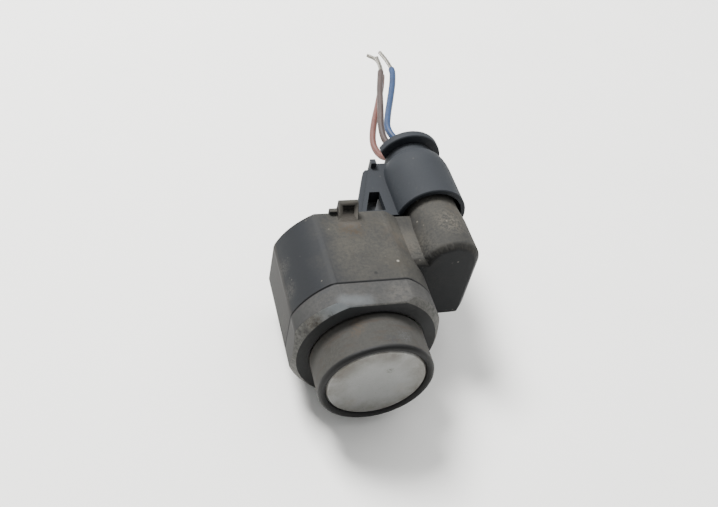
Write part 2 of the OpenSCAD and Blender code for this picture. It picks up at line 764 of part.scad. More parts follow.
// Radial seal between the plug's barrel and the socket
module plug_seal() {
    color("#8a3f35") at_socket() turned() translate([groove_d / 2, groove_front])
        square([(socket_bore - groove_d) / 2 - pin_gap, seal_len]);
}

// Slot across the barrel, under the terminals
module lock_slot(grow) {
    top = socket_z - channel_w / 2;
    span = 2 * pin_pitch + channel_w;
    at_socket() translate([-span / 2 - grow, lock_front - grow, -barrel_d])
        cube([span + 2 * grow, lock_t + 2 * grow, barrel_d + top - socket_z]);
}

// Wedge that locks the terminals in the barrel
module terminal_lock() {
    color("#b8b1a0") intersection() {
        lock_slot(0);
        at_socket() bar(barrel_d, rim_y, shroud_floor);
    }
}

// Terminal: a box that takes the pin, and a crimp round the wire
module terminal(i) {
    color("#c8b27c") translate([way_x(i), 0, socket_z]) difference() {
        union() {
            translate([-terminal_w / 2, terminal_front, -terminal_w / 2])
                cube([terminal_w, terminal_len, terminal_w]);
            bar(terminal_w, terminal_back - over, crimp_back);
        }
        translate([-pin_hole / 2, terminal_front - over, -pin_hole / 2])
            cube([pin_hole, pin_tip - terminal_front + over + fit_gap, pin_hole]);
        bar(wire_d, wire_start, crimp_back + over);
    }
}

module terminal_1() {
    terminal(0);
}

module terminal_2() {
    terminal(1);
}

module terminal_3() {
    terminal(2);
}

// Ribbed rubber plug in the neck that seals round the three wires
module wire_seal() {
    core_r = wire_bore / 2 - seal_rib;
    color("#7d4a3a") difference() {
        at_socket() turned() {
            translate([0, seal_front]) square([core_r, wire_seal_len]);
            for (y = [seal_front + seal_rib_inset, seal_back - seal_rib_inset])
                translate([core_r, y]) circle(r = seal_rib - wire_gap);
        }
        for (i = ways) translate([way_x(i), 0, socket_z]) bar(wire_d, seal_front - over, seal_back + over);
    }
}

// Cap that holds the wire seal, with a flange that is open where the wires leave
module rear_cap() {
    flange_back = plug_back + cap_t;
    wire_hole = wire_d + 2 * wire_room;
    color("#565a5e") difference() {
        at_socket() difference() {
            turned() {
                translate([0, plug_back]) polygon(half_profile(cap_d / 2, 0, cap_t, cap_edge, cap_edge));
                translate([0, cap_plate_front]) square([wire_bore / 2 - pin_gap, cap_plate_t]);
            }
            bar(cap_recess_d, cap_plate_back, flange_back + over);
            rotate([0, -cap_gap_angle, 0]) translate([cap_gap_edge, plug_back, -cap_d])
                cube([cap_d, cap_t + over, 2 * cap_d]);
        }
        for (i = ways) translate([way_x(i), 0, socket_z])
            bar(wire_hole, cap_plate_front - over, flange_back + over);
    }
}

module wire_red() {
    color("#d98f86") cord(red_route, wire_d, [0, 1, 0], [0.08, 1, -0.08]);
}

module wire_brown() {
    color("#a58a80") cord(brown_route, wire_d, [0, 1, 0], [-0.7, 1, -0.1]);
}

module wire_blue() {
    color("#7c98c8") cord(blue_route, wire_d, [0, 1, 0], [-0.2, 1, -0.08]);
}

housing();
front_collar();
membrane_pot();
decoupling_ring();
piezo_disc();
damping_pad();
transducer_carrier();
piezo_leads();
circuit_board();
control_chip();
transformer_core();
transformer_winding();
filter_capacitor();
ceramic_capacitors();
contact_pin_1();
contact_pin_2();
contact_pin_3();
plug_housing();
plug_seal();
terminal_lock();
terminal_1();
terminal_2();
terminal_3();
wire_seal();
rear_cap();
wire_red();
wire_brown();
wire_blue();
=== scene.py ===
"""Used ultrasonic parking sensor with its latched plug and cut wires, on a pale studio floor.

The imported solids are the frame. Copies of the visible mouldings get rounded edges, the wires are
laid along the routes of their solids, and every piece gets a finish made of nodes.
"""

import logging
import math
from dataclasses import dataclass
from enum import Enum

import bmesh
import bpy
from mathutils import Matrix, Vector
from mathutils.geometry import interpolate_bezier


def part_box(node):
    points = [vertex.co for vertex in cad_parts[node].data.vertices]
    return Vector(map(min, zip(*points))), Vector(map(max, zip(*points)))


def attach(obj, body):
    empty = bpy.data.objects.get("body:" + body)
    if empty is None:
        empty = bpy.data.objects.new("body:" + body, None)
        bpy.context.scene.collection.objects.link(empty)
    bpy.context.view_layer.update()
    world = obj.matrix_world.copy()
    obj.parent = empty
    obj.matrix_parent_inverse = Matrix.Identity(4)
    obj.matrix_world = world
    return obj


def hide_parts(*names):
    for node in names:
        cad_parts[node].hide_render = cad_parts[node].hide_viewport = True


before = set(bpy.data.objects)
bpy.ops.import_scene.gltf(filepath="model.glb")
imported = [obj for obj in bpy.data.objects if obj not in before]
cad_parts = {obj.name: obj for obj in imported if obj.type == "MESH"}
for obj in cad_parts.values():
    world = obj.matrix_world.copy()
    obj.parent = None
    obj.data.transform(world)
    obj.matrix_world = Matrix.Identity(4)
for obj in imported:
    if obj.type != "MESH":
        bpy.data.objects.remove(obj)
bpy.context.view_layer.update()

MM = 0.001
LOG = logging.getLogger("parking_sensor")

Point = tuple[float, float, float]
Span = tuple[float, float]
Tree = bpy.types.NodeTree
Node = bpy.types.Node
Socket = bpy.types.NodeSocket
Piece = bpy.types.Object
Shape = bmesh.types.BMesh
ShapeEdge = bmesh.types.BMEdge

# For the rounded copies, in millimetres unless a comment says degrees
WELD = 0.002  # points closer than this are one
FLAT_ANGLE = 0.6  # degrees: faces that meet flatter than this are one
SMOOTH_ANGLE = 40.0  # degrees: edges sharper than this are shaded hard
SOFT_RUN = 2.0  # shortest run along the axis of an edge between a flat and a round corner
SHORT_CHAIN = 10.0  # shortest chain of edges that is worth rounding
STRIP_WIDTHS = 1.6  # width of the strip beside a soft edge, in widths of its rounding
PLANE_ROOM = 0.005  # how far off a flat's plane or a strip's border a point may lie
CUT_ROOM = 0.0005  # a cut this close to a point goes through it
SQUARE = 0.9999  # least part of a flat's normal that lies along one axis

# Node settings that many patterns share
SMOOTH = {"interpolation_type": "SMOOTHSTEP"}
BLEND = {"data_type": "RGBA"}
TIMES = {"operation": "MULTIPLY", "use_clamp": True}
# Sockets of a Mix node for colours: how much, the colour below, the one above, and the result
SHARE, BELOW, ABOVE, MIXED = 0, 6, 7, 2
# Inputs of a fine noise, and the range that most of a noise lies in
FINE = {"Detail": 4.0, "Roughness": 0.7}
MOST = {"From Min": 0.3, "From Max": 0.7}
# Part of a mark's reach that has its full strength
MARK_CORE = 0.15
# Radians that a wave texture's phase grows by in a length of one
WAVE_PHASE = 20


class Body(Enum):
    """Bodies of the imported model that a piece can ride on."""

    ROOT = "root"


class Axis(Enum):
    """Axes of the frame, as the outputs of a Separate XYZ node."""

    X = 0
    Y = 1
    Z = 2


class Edge(Enum):
    """Kinds of edge that are rounded: the angles between their faces, and the rounding's steps."""

    SOFT = (16.0, 33.0, 4)
    SHARP = (60.0, 180.0, 3)
    BEVEL = (33.0, 58.0, 3)

    def __init__(self, low: float, high: float, steps: int) -> None:
        """Keeps the values of one kind.

        Args:
            low: least angle between the faces, in degrees.
            high: greatest angle between them, in degrees.
            steps: number of segments that the rounding has.
        """
        self.low = math.radians(low)
        self.high = math.radians(high)
        self.steps = steps


def linear(code: str) -> tuple[float, float, float, float]:
    """Turns an sRGB hex colour into linear light.

    Args:
        code: the colour, such as "#5b5a57".

    Returns:
        Red, green, blue and alpha, linear.
    """
    parts = [int(code[i:i + 2], 16) / 255 for i in (1, 3, 5)]
    red, green, blue = (
        c / 12.92 if c <= 0.04045 else ((c + 0.055) / 1.055) ** 2.4 for c in parts)
    return (red, green, blue, 1.0)


def add(tree: Tree, kind: str, settings: dict | None = None, inputs: dict | None = None) -> Node:
    """Adds a node with its settings, and sets or links its inputs.

    Args:
        tree: the tree that the node goes into.
        kind: Blender's name of the node type, without its "ShaderNode".
        settings: attribute name to value.
        inputs: socket name or number to a value, an output, or a node whose first output feeds it.

    Returns:
        The new node.
    """
    node = tree.nodes.new("ShaderNode" + kind)
    for key, value in (settings or {}).items():
        setattr(node, key, value)
    for key, value in (inputs or {}).items():
        if isinstance(value, Node):
            value = value.outputs[0]
        if isinstance(value, Socket):
            tree.links.new(value, node.inputs[key])
        else:
            node.inputs[key].default_value = value
    return node


def per_mm(size: float) -> float:
    """Works out the scale of a texture from the size of its features.

    Args:
        size: size of a feature in millimetres.

    Returns:
        The scale on Object coordinates.
    """
    return 1 / (size * MM)


@dataclass(frozen=True)
class StainOrPaintedLight:
    """A local mark: its middle and reach in millimetres, its colour, and the size of its breaks.

    Some marks are stains, others are painted light or painted shade. A mark with breaks of size 0
    is whole.
    """

    at: Point
    reach: float
    colour: str
    amount: float = 0.6
    breaks: float = 1.2

    def lay(self, tree: Tree, place: Socket, under: Socket, where: Socket | None = None) -> Socket:
        """Lays the mark over a colour.

        Args:
            tree: the node tree.
            place: Object coordinates.
            under: the colour below.
            where: the share of each place that the mark can take, or None for all of it.

        Returns:
            The colour with the mark.
        """
        away = add(tree, "VectorMath", {"operation": "DISTANCE"}, {
            0: place, 1: Vector(self.at) * MM})
        near = add(tree, "MapRange", SMOOTH, {
            "Value": away.outputs["Value"], "From Min": self.reach * MM,
            "From Max": MARK_CORE * self.reach * MM, "To Max": self.amount})
        share = near.outputs["Result"]
        if self.breaks:
            torn = add(tree, "TexNoise", {}, {
                "Vector": place, "Scale": per_mm(self.breaks), **FINE})
            left = add(tree, "MapRange", SMOOTH, {"Value": torn, "From Min": 0.4, "From Max": 0.6})
            share = add(tree, "Math", TIMES, {0: share, 1: left}).outputs[0]
        if where:
            share = add(tree, "Math", TIMES, {0: share, 1: where}).outputs[0]
        return add(tree, "Mix", BLEND, {
            SHARE: share, BELOW: under, ABOVE: linear(self.colour)}).outputs[MIXED]


@dataclass(frozen=True)
class Finish:
    """A material: its name, its shader values, and the grain that every surface has.

    True grains of a tenth of a millimetre would be lost in the picture, so these are coarser.

    Attributes:
        grain: size of the grain in millimetres.
        shade: how far the grain darkens the colour, from 0 to 1.
        relief: height of the grain in millimetres.
    """

    name: str
    colour: str
    roughness: float = 0.6
    metallic: float = 0.0
    specular: float = 0.5
    grain: float = 0.5
    shade: float = 0.2
    relief: float = 0.01

    def material(self) -> bpy.types.Material:
        """Builds the node material, or finds it where it is built already.

        Returns:
            The material.
        """
        made = bpy.data.materials.get(self.name)
        if made:
            return made
        made = bpy.data.materials.new(self.name)
        made.use_nodes = True
        tree = made.node_tree
        tree.nodes.clear()
        shader = add(tree, "BsdfPrincipled", {}, {
            "Roughness": self.roughness, "Metallic": self.metallic,
            "Specular IOR Level": self.specular})
        add(tree, "OutputMaterial", {}, {"Surface": shader.outputs["BSDF"]})
        self.wire(tree, shader, add(tree, "TexCoord").outputs["Object"])
        return made

    def wire(self, tree: Tree, shader: Node, place: Socket) -> None:
        """Adds a plain grain: shade, dullness and relief all follow one noise.

        Args:
            tree: the node tree.
            shader: the shader.
            place: Object coordinates.
        """
        noise = add(tree, "TexNoise", {}, {
            "Vector": place, "Scale": per_mm(self.grain), "Detail": 4.0, "Roughness": 0.65})
        shade = add(tree, "MapRange", {}, {
            "Value": noise, **MOST, "To Min": 1 - self.shade, "To Max": 1 + self.shade / 2})
        tone = add(tree, "VectorMath", {"operation": "SCALE"}, {
            0: linear(self.colour)[:3], "Scale": shade})
        dull = add(tree, "MapRange", {}, {
            "Value": noise, **MOST,
            "To Min": self.roughness - 0.08, "To Max": self.roughness + 0.08})
        self.join(tree, shader, tone.outputs[0], dull.outputs["Result"], noise.outputs["Fac"])

    def join(self, tree: Tree, shader: Node, colour: Socket, dull: Socket, height: Socket) -> None:
        """Feeds colour, roughness and relief to the shader.

        Args:
            tree: the node tree.
            shader: the shader.
            colour: the finished colour.
            dull: the finished roughness.
            height: the relief, from 0 to 1.
        """
        bump = add(tree, "Bump", {}, {
            "Strength": 0.5, "Distance": self.relief * MM, "Height": height})
        tree.links.new(colour, shader.inputs["Base Color"])
        tree.links.new(dull, shader.inputs["Roughness"])
        tree.links.new(bump.outputs["Normal"], shader.inputs["Normal"])


@dataclass(frozen=True)
class DustyPlastic(Finish):
    """Moulded plastic after years on the road.

    A spark-eroded mould gives it a fine dull grain. Dust lies on what faces up, with soil in
    patches, pale crumbs here and there, dark grime in the seam and rubbed marks where it was
    handled. Amounts go from 0 to 1, and places and sizes are in millimetres.

    Attributes:
        dust_up, dust_side: how thickly dust lies on what faces up, and on the bare side's flat.
        dust_from: upward part of the normal from which dust lies.
        clean_to, dusty_from: X up to which it is clean, and from which it is dusty.
        drift: how far the clouds in the dust move that border.
        seam, seam_half: Y of the grimed seam, or 0 for none, and half its width.
        clean_front: how clean the faces to the front are.
        painted_face_light, rub_stains: painted light that lifts those faces out of their shade, and
            marks on the rubbed bevels.
        cloud, blot, mottle: size of the dust's clouds, the soil's patches and the rubbed mottle.
        crumb_gap: distance between crumbs.
    """

    dust: str = "#3e3c37"
    dust_up: float = 0.85
    dust_from: float = 0.2
    dust_side: float = 0.0
    clean_to: float = -60.0
    dusty_from: float = -50.0
    drift: float = 9.0
    side_dust: str = "#1d1b19"
    soil: str = "#2d2820"
    soil_amount: float = 0.45
    speck: str = "#6a665d"
    speck_amount: float = 0.55
    grime: str = "#161617"
    seam: float = 0.0
    seam_half: float = 0.22
    clean_front: float = 0.0
    painted_face_light: tuple[StainOrPaintedLight, ...] = ()
    rub: str = "#5b5a56"
    rub_amount: float = 0.0
    rub_stains: tuple[StainOrPaintedLight, ...] = ()
    # Local marks: real stains, and on the housing painted light and painted shade as well
    stains_and_painted_light: tuple[StainOrPaintedLight, ...] = ()
    cloud: float = 8.0
    blot: float = 3.4
    crumb_gap: float = 1.5
    mottle: float = 0.7

    def wire(self, tree: Tree, shader: Node, place: Socket) -> None:
        """Adds dust, soil, crumbs, grime and marks over the moulded grain.

        Args:
            tree: the node tree.
            shader: the shader.
            place: Object coordinates.
        """
        grain = add(tree, "TexNoise", {}, {"Vector": place, "Scale": per_mm(self.grain), **FINE})
        blot = add(tree, "TexNoise", {}, {
            "Vector": place, "Scale": per_mm(self.blot), "Detail": 5.0, "Roughness": 0.7,
            "Distortion": 0.6})
        film = self.film(tree, place, grain.outputs["Fac"])
        colour = add(tree, "Mix", BLEND, {
            SHARE: film, BELOW: linear(self.colour), ABOVE: linear(self.dust)}).outputs[MIXED]
        colour = self.side_film(tree, grain.outputs["Fac"], colour)

        soil = add(tree, "MapRange", SMOOTH, {
            "Value": blot, "From Min": 0.5, "From Max": 0.72, "To Max": self.soil_amount})
        lying = add(tree, "Math", TIMES, {0: soil, 1: film})
        colour = add(tree, "Mix", BLEND, {
            SHARE: lying, BELOW: colour, ABOVE: linear(self.soil)}).outputs[MIXED]

        cells = add(tree, "TexVoronoi", {}, {"Vector": place, "Scale": per_mm(self.crumb_gap)})
        crumb = add(tree, "MapRange", {}, {
            "Value": cells, "From Min": 0.07, "From Max": 0.15,
            "To Min": self.speck_amount, "To Max": 0.0})
        strewn = add(tree, "MapRange", {}, {"Value": blot, "From Min": 0.53, "From Max": 0.6})
        crumbs = add(tree, "Math", TIMES, {0: crumb, 1: strewn})
        colour = add(tree, "Mix", BLEND, {
            SHARE: crumbs, BELOW: colour, ABOVE: linear(self.speck)}).outputs[MIXED]

        for stain in self.stains_and_painted_light:
            colour = stain.lay(tree, place, colour)
        if self.rub_amount:
            colour = self.rubbed(tree, place, colour)
        if self.clean_front:
            colour = self.wiped(tree, place, colour)
        if self.seam:
            colour = self.grimed(tree, place, colour)
        dull = add(tree, "MapRange", {}, {"Value": film, "To Min": self.roughness, "To Max": 0.92})
        self.join(tree, shader, colour, dull.outputs["Result"], grain.outputs["Fac"])

    def facing(self, tree: Tree, axis: Axis) -> Socket:
        """Tells how far the surface faces along an axis.

        Args:
            tree: the node tree.
            axis: the axis.

        Returns:
            That part of the normal, from -1 to 1.
        """
        normal = add(tree, "NewGeometry").outputs["Normal"]
        return add(tree, "SeparateXYZ", {}, {0: normal}).outputs[axis.value]

    def film(self, tree: Tree, place: Socket, grain: Socket) -> Socket:
        """Works out how thickly dust lies, from the slope, wide clouds and the grain.

        Args:
            tree: the node tree.
            place: Object coordinates.
            grain: the fine noise.

        Returns:
            The dust's share, from 0 to 1.
        """
        up = add(tree, "MapRange", SMOOTH, {
            "Value": self.facing(tree, Axis.Z), "From Min": self.dust_from, "From Max": 0.8,
            "To Max": self.dust_up})
        cloud = add(tree, "TexNoise", {}, {
            "Vector": place, "Scale": per_mm(self.cloud), "Detail": 4.0, "Roughness": 0.6})
        patchy = add(tree, "MapRange", {}, {
            "Value": cloud, "From Min": 0.35, "From Max": 0.62, "To Min": 0.6})
        across = add(tree, "SeparateXYZ", {}, {0: place})
        moved = add(tree, "Math", {"operation": "MULTIPLY_ADD"}, {
            0: cloud, 1: self.drift * MM, 2: across.outputs[Axis.X.value]})
        settled = add(tree, "MapRange", SMOOTH, {
            "Value": moved, "From Min": self.clean_to * MM, "From Max": self.dusty_from * MM})
        lying = add(tree, "Math", TIMES, {0: up, 1: settled})
        wide = add(tree, "Math", TIMES, {0: lying, 1: patchy})
        fine = add(tree, "MapRange", {}, {
            "Value": grain, "From Min": 0.28, "From Max": 0.72, "To Min": 0.55, "To Max": 1.25})
        return add(tree, "Math", TIMES, {0: wide, 1: fine}).outputs[0]

    def side_film(self, tree: Tree, grain: Socket, under: Socket) -> Socket:
        """Lays the pale dust that clings to the flat on the bare side.

        Args:
            tree: the node tree.
            grain: the fine noise.
            under: the colour below.

        Returns:
            The colour with that dust.
        """
        side = add(tree, "MapRange", SMOOTH, {
            "Value": self.facing(tree, Axis.X), "From Min": -0.88, "From Max": -0.985,
            "To Max": self.dust_side})
        fine = add(tree, "MapRange", {}, {"Value": grain, **MOST, "To Min": 0.6, "To Max": 1.1})
        share = add(tree, "Math", TIMES, {0: side, 1: fine})
        return add(tree, "Mix", BLEND, {
            SHARE: share, BELOW: under, ABOVE: linear(self.side_dust)}).outputs[MIXED]

    def rubbed(self, tree: Tree, place: Socket, under: Socket) -> Socket:
        """Rubs the bevels that face half to the front, in a fine mottle and in smooth patches.

        Args:
            tree: the node tree.
            place: Object coordinates.
            under: the colour below.

        Returns:
            The colour with the rubbed bevels.
        """
        bevel = add(tree, "MapRange", SMOOTH, {
            "Value": self.facing(tree, Axis.Y), "From Min": -0.25, "From Max": -0.55})
        mottle = add(tree, "TexNoise", {}, {
            "Vector": place, "Scale": per_mm(self.mottle), "Detail": 4.0, "Roughness": 0.75})
        worn = add(tree, "MapRange", {}, {
            "Value": mottle, "From Min": 0.36, "From Max": 0.6,
            "To Min": 0.35 * self.rub_amount, "To Max": self.rub_amount})
        share = add(tree, "Math", TIMES, {0: worn, 1: bevel})
        colour = add(tree, "Mix", BLEND, {
            SHARE: share, BELOW: under, ABOVE: linear(self.rub)}).outputs[MIXED]
        for stain in self.rub_stains:
            colour = stain.lay(tree, place, colour, bevel.outputs["Result"])
        return colour

    def wiped(self, tree: Tree, place: Socket, under: Socket) -> Socket:
        """Leaves the bare plastic on what faces straight to the front, and lays painted light over
        it.

        Args:
            tree: the node tree.
            place: Object coordinates.
            under: the colour below.

        Returns:
            The colour with the clean face and its painted light.
        """
        front = add(tree, "MapRange", SMOOTH, {
            "Value": self.facing(tree, Axis.Y), "From Min": -0.88, "From Max": -0.98,
            "To Max": self.clean_front})
        share = front.outputs["Result"]
        colour = add(tree, "Mix", BLEND, {
            SHARE: share, BELOW: under, ABOVE: linear(self.colour)}).outputs[MIXED]
        # Patches of painted light over the clean face
        for stain in self.painted_face_light:
            colour = stain.lay(tree, place, colour, share)
        return colour

    def grimed(self, tree: Tree, place: Socket, under: Socket) -> Socket:
        """Darkens the seam between collar and housing.

        Args:
            tree: the node tree.
            place: Object coordinates.
            under: the colour below.

        Returns:
            The colour with the dark seam.
        """
        along = add(tree, "SeparateXYZ", {}, {0: place})
        off = add(tree, "Math", {"operation": "SUBTRACT"}, {
            0: along.outputs[Axis.Y.value], 1: self.seam * MM})
        away = add(tree, "Math", {"operation": "ABSOLUTE"}, {0: off})
        grime = add(tree, "MapRange", SMOOTH, {
            "Value": away, "From Min": 1.3 * self.seam_half * MM,
            "From Max": 0.7 * self.seam_half * MM, "To Max": 0.95})
        return add(tree, "Mix", BLEND, {
            SHARE: grime, BELOW: under, ABOVE: linear(self.grime)}).outputs[MIXED]


@dataclass(frozen=True)
class NoseRubber(Finish):
    """Moulded rubber: a black rim that is wiped clean, and a dusty grey-brown side behind it.

    Attributes:
        smear_size: size of the smears in millimetres.
        smear_squeeze: how much finer than that they are along each axis.
        rim_to, rim_from: Y in millimetres before which it is clean, and behind which it is dusty.
    """

    dust: str = "#383734"
    smear: str = "#312a24"
    smear_size: float = 1.6
    # Fingers drag dirt round the nose, so the smears are long across it
    smear_squeeze: Point = (0.35, 1.4, 0.35)
    rim_from: float = -6.0
    rim_to: float = -6.35
    marks: tuple[StainOrPaintedLight, ...] = ()

    def wire(self, tree: Tree, shader: Node, place: Socket) -> None:
        """Adds the dusty side, its brown smears and the clean rim.

        Args:
            tree: the node tree.
            shader: the shader.
            place: Object coordinates.
        """
        grain = add(tree, "TexNoise", {}, {"Vector": place, "Scale": per_mm(self.grain), **FINE})
        along = add(tree, "SeparateXYZ", {}, {0: place})
        side = add(tree, "MapRange", SMOOTH, {
            "Value": along.outputs[Axis.Y.value], "From Min": self.rim_to * MM,
            "From Max": self.rim_from * MM})
        fine = add(tree, "MapRange", {}, {"Value": grain, **MOST, "To Min": 0.6})
        film = add(tree, "Math", TIMES, {0: side, 1: fine})
        colour = add(tree, "Mix", BLEND, {
            SHARE: film, BELOW: linear(self.colour), ABOVE: linear(self.dust)}).outputs[MIXED]
        drawn = add(tree, "Mapping", {}, {"Vector": place, "Scale": self.smear_squeeze})
        streak = add(tree, "TexNoise", {}, {
            "Vector": drawn, "Scale": per_mm(self.smear_size), "Detail": 5.0, "Roughness": 0.7})
        smear = add(tree, "MapRange", SMOOTH, {
            "Value": streak, "From Min": 0.48, "From Max": 0.7, "To Max": 0.65})
        smeared = add(tree, "Math", TIMES, {0: smear, 1: side})
        colour = add(tree, "Mix", BLEND, {
            SHARE: smeared, BELOW: colour, ABOVE: linear(self.smear)}).outputs[MIXED]
        for mark in self.marks:
            colour = mark.lay(tree, place, colour)
        dull = add(tree, "MapRange", {}, {"Value": film, "To Min": self.roughness, "To Max": 0.95})
        self.join(tree, shader, colour, dull.outputs["Result"], grain.outputs["Fac"])


@dataclass(frozen=True)
class SatinAluminium(Finish):
    """Deep-drawn aluminium with a satin lacquer: pale, softly shiny, stained towards its edge.

    Attributes:
        clean_r: radius in millimetres up to which the disc is clean.
        edge_r: radius in millimetres at which it is stained most.
        cloud: size of the clouds in the stain, in millimetres.
    """

    stain: str = "#58544d"
    clean_r: float = 3.5
    edge_r: float = 8.1
    cloud: float = 4.0
    specks: tuple[StainOrPaintedLight, ...] = ()

    def wire(self, tree: Tree, shader: Node, place: Socket) -> None:
        """Adds the stained edge, clouds, fine pits and dark specks.

        Args:
            tree: the node tree.
            shader: the shader.
            place: Object coordinates.
        """
        flat = add(tree, "VectorMath", {"operation": "MULTIPLY"}, {0: place, 1: (1, 0, 1)})
        out = add(tree, "VectorMath", {"operation": "LENGTH"}, {0: flat})
        cloud = add(tree, "TexNoise", {}, {
            "Vector": place, "Scale": per_mm(self.cloud), "Detail": 5.0, "Roughness": 0.65})
        grain = add(tree, "TexNoise", {}, {"Vector": place, "Scale": per_mm(self.grain), **FINE})
        ring = add(tree, "MapRange", SMOOTH, {
            "Value": out.outputs["Value"], "From Min": self.clean_r * MM,
            "From Max": self.edge_r * MM, "To Min": 0.1, "To Max": 0.9})
        patchy = add(tree, "MapRange", {}, {
            "Value": cloud, "From Min": 0.3, "From Max": 0.65, "To Min": 0.2})
        share = add(tree, "Math", TIMES, {0: ring, 1: patchy})
        colour = add(tree, "Mix", BLEND, {
            SHARE: share, BELOW: linear(self.colour), ABOVE: linear(self.stain)}).outputs[MIXED]
        pits = add(tree, "MapRange", SMOOTH, {
            "Value": grain, "From Min": 0.6, "From Max": 0.7, "To Max": 0.5})
        colour = add(tree, "Mix", BLEND, {
            SHARE: pits, BELOW: colour, ABOVE: linear(self.stain)}).outputs[MIXED]
        for speck in self.specks:
            colour = speck.lay(tree, place, colour)
        dull = add(tree, "MapRange", {}, {
            "Value": cloud, **MOST,
            "To Min": self.roughness - 0.08, "To Max": self.roughness + 0.12})
        self.join(tree, shader, colour, dull.outputs["Result"], grain.outputs["Fac"])


@dataclass(frozen=True)
class Woven(Finish):
    """Laminate or winding: fine parallel bands in two directions or one.

    Attributes:
        band: width of a band in millimetres.
        crossed: whether bands run in two directions.
    """

    band: float = 0.3
    crossed: bool = True

    def wire(self, tree: Tree, shader: Node, place: Socket) -> None:
        """Adds the bands, with shade, dullness and relief that follow them.

        Args:
            tree: the node tree.
            shader: the shader.
            place: Object coordinates.
        """
        spacing = {"Vector": place, "Scale": per_mm(self.band) * math.tau / WAVE_PHASE}
        height = add(tree, "TexWave", {"bands_direction": "Z"}, spacing).outputs["Fac"]
        if self.crossed:
            across = add(tree, "TexWave", {"bands_direction": "X"}, spacing)
            height = add(tree, "Math", TIMES, {0: height, 1: across.outputs["Fac"]}).outputs[0]
        shade = add(tree, "MapRange", {}, {
            "Value": height, "To Min": 1 - self.shade, "To Max": 1 + self.shade})
        tone = add(tree, "VectorMath", {"operation": "SCALE"}, {
            0: linear(self.colour)[:3], "Scale": shade})
        dull = add(tree, "MapRange", {}, {
            "Value": height, "To Min": self.roughness, "To Max": self.roughness + 0.1})
        self.join(tree, shader, tone.outputs[0], dull.outputs["Result"], height)


SEAM_Y = 4.8
BROWN_SOIL = "#352c22"
PALE_RUB = "#5a5e60"
PALE_SPECKLE = "#4c4a45"
# Painted shade: near-black for the inside of the lug's hollow and of a pit on the top
PAINTED_HOLLOW_SHADE = "#111213"
EDGE_GRIME = "#17140f"

# Glass-filled nylon, moulded: dark blue-grey under dust, dull all over
HOUSING_NYLON = DustyPlastic(
    "moulded_nylon_dusty", "#16181b", 0.66, specular=0.18, relief=0.03, dust_from=-0.2,
    dust_side=0.85, clean_to=-4.0, dusty_from=2.5, seam=SEAM_Y, stains_and_painted_light=(
        # Soil on the top, pale dirt on the neck, soil on the flat of the bare side
        StainOrPaintedLight((-0.4, 16.4, 11.3), 3.2, BROWN_SOIL, 0.75, 1.0),
        StainOrPaintedLight((8.0, 14.6, 11.0), 4.5, "#443c33", 0.5, 1.6),
        StainOrPaintedLight((5.0, 8.0, 11.3), 4.0, "#33312d", 0.6, 1.2),
        StainOrPaintedLight((11.6, 12.8, 9.4), 4.5, "#605d55", 0.2, 0.4),
        StainOrPaintedLight((-11.9, 7.5, -1.0), 5.0, "#2b2a26", 0.5, 1.0),
        # Tower, front of the arm, corner beside the tower, foot of the neck
        StainOrPaintedLight((16.4, 15.4, 12.5), 3.6, "#57534b", 0.45, 0.5),
        StainOrPaintedLight((18.5, 19.0, 12.0), 3.0, "#3a342c", 0.5, 0.8),
        StainOrPaintedLight((13.2, 9.7, 4.0), 4.5, "#2b2a28", 0.3, 0.4),
        # Pale dust, and painted light that lifts this right round corner where the lamps leave it
        # darker
        StainOrPaintedLight((9.0, 15.2, 10.2), 4.2, "#55524b", 0.32, 0.0),
        # Painted shade in the crease at the foot of the neck, between body and tower
        StainOrPaintedLight((12.2, 10.8, 8.4), 3.2, "#1d1d1c", 0.75, 0.6),
        # Catch under the window; lug, lighter with dust and with painted fill light; painted shade
        # in its hollow
        StainOrPaintedLight((5.2, 25.2, 6.4), 4.6, "#2c2e31", 1.0, 0.0),
        StainOrPaintedLight((-0.5, 18.4, 12.4), 3.0, "#4a4641", 0.8, 0.0),
        StainOrPaintedLight((-0.5, 19.6, 12.6), 0.9, PAINTED_HOLLOW_SHADE, 0.9, 0.0),
        # Bright speck, painted shade for a pit on the top, speckles beside the flat
        StainOrPaintedLight((5.4, 8.6, 11.3), 0.34, "#7d7a72", 0.9, 0.0),
        StainOrPaintedLight((1.1, 6.4, 11.3), 0.5, PAINTED_HOLLOW_SHADE, 0.6, 0.0),
        StainOrPaintedLight((-12.0, 13.9, 5.4), 2.6, PALE_SPECKLE, 0.3, 0.35),
        StainOrPaintedLight((-12.0, 8.9, 5.6), 2.6, PALE_SPECKLE, 0.3, 0.35)))
